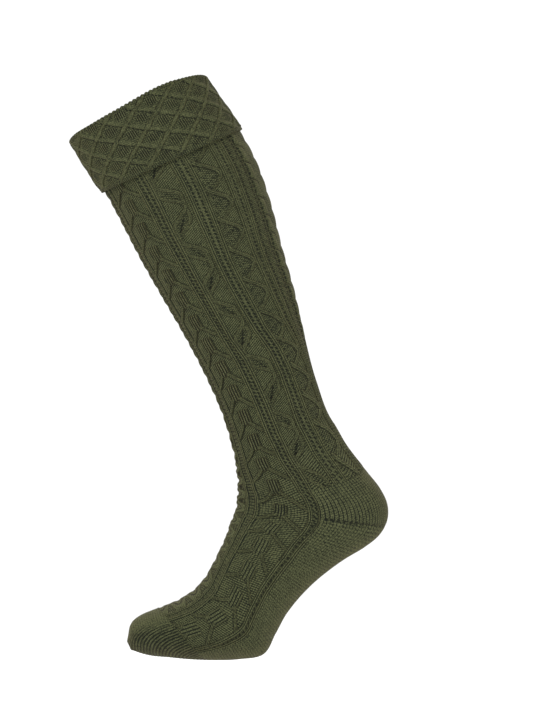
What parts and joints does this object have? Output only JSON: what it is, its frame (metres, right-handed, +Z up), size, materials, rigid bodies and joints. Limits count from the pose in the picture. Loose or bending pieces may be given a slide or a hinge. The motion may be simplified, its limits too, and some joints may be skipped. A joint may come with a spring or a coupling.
{
  "type": "wool sock",
  "caption": "Knee-length cable-knit wool sock holding its worn shape, with a turned-down lattice cuff, patterned leg and instep, plain cupped heel, plain sole and closed toe cap",
  "frame": {"origin": "the middle of the leg opening, in the plane of the cuff's top edge", "axes": "+Z up as the worn sock stands on tiptoe, the toe towards -X, left and right of the foot along Y"},
  "size_m": [0.2919, 0.1204, 0.5364],
  "materials": {
    "cuff": "olive green knitted wool, raised lattice",
    "leg": "olive green knitted wool, cables and ribs",
    "heel": "olive green knitted wool, plain",
    "foot": "olive green knitted wool, cables on the instep and plain on the sole",
    "toe": "olive green knitted wool, plain"
  },
  "bodies": {
    "root": {"cuff": "cuff", "leg_upper": "leg", "leg_lower": "leg", "heel": "heel", "foot": "foot", "toe": "toe"}
  },
  "joints": []
}
